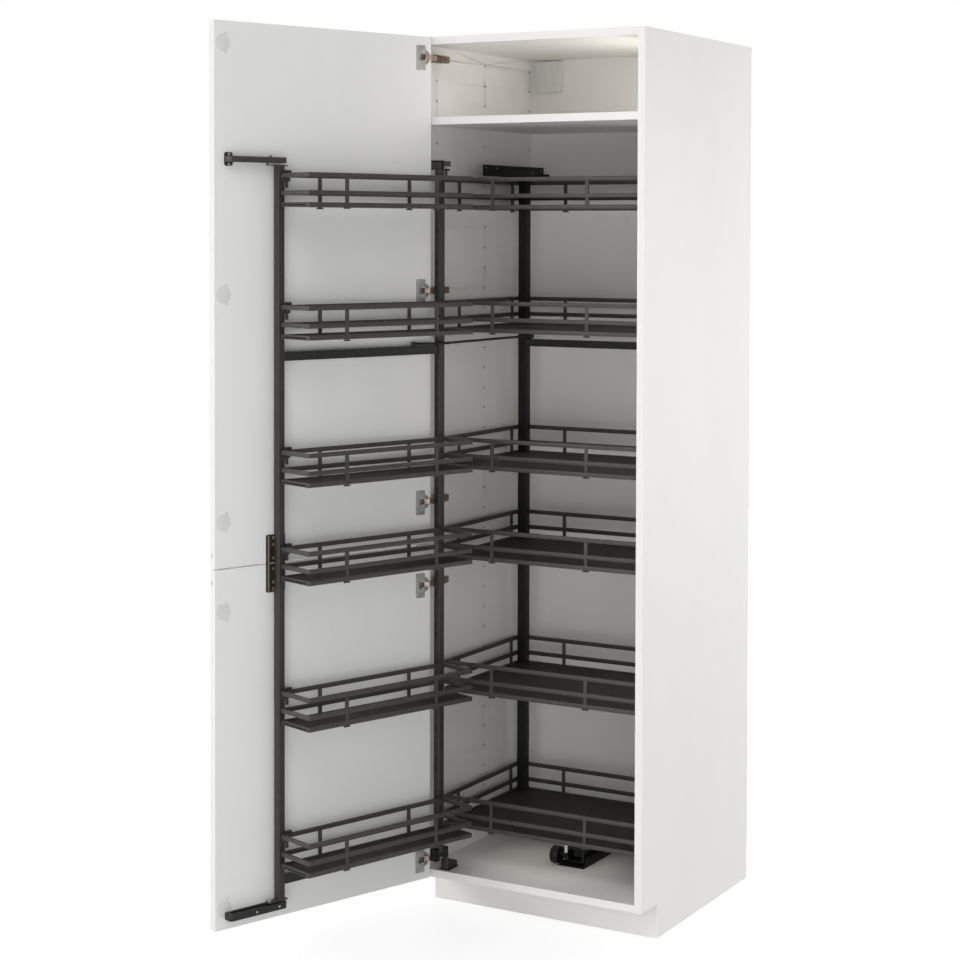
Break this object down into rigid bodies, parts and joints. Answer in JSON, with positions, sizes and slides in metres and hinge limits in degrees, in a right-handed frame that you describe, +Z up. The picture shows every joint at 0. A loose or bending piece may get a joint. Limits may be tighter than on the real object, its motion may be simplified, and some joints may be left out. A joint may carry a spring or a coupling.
{
  "type": "kitchen cabinet",
  "caption": "Tall white pantry cabinet with a split hinged door that swings out a basket rack and draws a second basket rack forward",
  "frame": {"origin": "middle of the front plinth board's base, on the floor", "axes": "+X to the right seen from the front, +Y into the cabinet, +Z up"},
  "size_m": [0.7785, 1.1713, 2.08],
  "materials": {
    "white_board": "matt white foil on board",
    "black_plastic": "moulded, matt",
    "pale_plastic": "moulded, matt",
    "black_steel": "black, satin",
    "hinge_steel": "nickel plated",
    "bronze_steel": "bronze, satin",
    "dark_steel": "anthracite powder coat",
    "tray_board": "dark coated board"
  },
  "bodies": {
    "carcass": {"left_side": "white_board", "right_side": "white_board", "bottom_board": "white_board", "top_board": "white_board", "fixed_shelf": "white_board", "back_board": "white_board", "wall_fixing_covers": "pale_plastic", "plinth_front": "white_board", "plinth_sides": "white_board", "legs": "black_plastic", "hinge_arms": "bronze_steel", "hinge_plates": "hinge_steel", "rack_floor_pivot": "black_plastic", "rack_top_pivot": "black_plastic", "floor_runner": "black_plastic", "top_guides": "black_steel"},
    "hinge_links": {"hinge_links": "hinge_steel"},
    "doors": {"upper_door": "white_board", "lower_door": "white_board", "door_joining_plate": "bronze_steel", "door_joining_screws": "hinge_steel", "door_edge_caps": "pale_plastic", "hinge_cups": "hinge_steel", "hinge_hole_covers": "pale_plastic", "top_door_arm": "black_plastic", "bottom_door_arm": "black_plastic"},
    "swing_rack": {"pivot_post": "dark_steel", "outer_post": "dark_steel", "rack_pivot_ends": "dark_steel", "outer_post_caps": "dark_steel", "rack_cross_bars": "dark_steel", "basket_clips": "dark_steel", "door_basket_1": "dark_steel", "door_basket_2": "dark_steel", "door_basket_3": "dark_steel", "door_basket_4": "dark_steel", "door_basket_5": "dark_steel", "door_basket_6": "dark_steel", "door_tray_1": "tray_board", "door_tray_2": "tray_board", "door_tray_3": "tray_board", "door_tray_4": "tray_board", "door_tray_5": "tray_board", "door_tray_6": "tray_board"},
    "rear_rack": {"rear_posts": "dark_steel", "rear_cross_bars": "dark_steel", "rear_carriage": "black_plastic", "rear_basket_1": "dark_steel", "rear_basket_2": "dark_steel", "rear_basket_3": "dark_steel", "rear_basket_4": "dark_steel", "rear_basket_5": "dark_steel", "rear_basket_6": "dark_steel", "rear_tray_1": "tray_board", "rear_tray_2": "tray_board", "rear_tray_3": "tray_board", "rear_tray_4": "tray_board", "rear_tray_5": "tray_board", "rear_tray_6": "tray_board"},
    "link_rod": {"link_rod": "black_steel"}
  },
  "joints": [
    {"name": "link_turn", "type": "hinge", "parent": "carcass", "child": "hinge_links", "pos_m": [-0.2553, -0.084, 0.982], "axis": [0, 0, 1], "range_deg": [-55.01, 0]},
    {"name": "door_hinge", "type": "hinge", "parent": "hinge_links", "child": "doors", "pos_m": [-0.26222, -0.1148, 0.982], "axis": [0, 0, 1], "range_deg": [0, 165.01]},
    {"name": "rack_pivot", "type": "hinge", "parent": "carcass", "child": "swing_rack", "pos_m": [-0.231, -0.074, 0.13], "axis": [0, 0, 1], "range_deg": [0, 108.8]},
    {"name": "rear_slide", "type": "slide", "parent": "carcass", "child": "rear_rack", "axis": [0, 1, 0], "range_m": [0, 0.08001]},
    {"name": "rod_turn", "type": "hinge", "parent": "rear_rack", "child": "link_rod", "pos_m": [-0.22221, 0.325, 1.357], "axis": [0, 0, 1], "range_deg": [0, 15.29]}
  ],
  "couplings": [
    {"joint": "link_turn", "follows": "rack_pivot", "ratio": -0.50551},
    {"joint": "door_hinge", "follows": "rack_pivot", "ratio": 1.5165},
    {"joint": "rear_slide", "follows": "rack_pivot", "m_per_rad": 0.042129},
    {"joint": "rod_turn", "follows": "rack_pivot", "ratio": 0.14046}
  ]
}
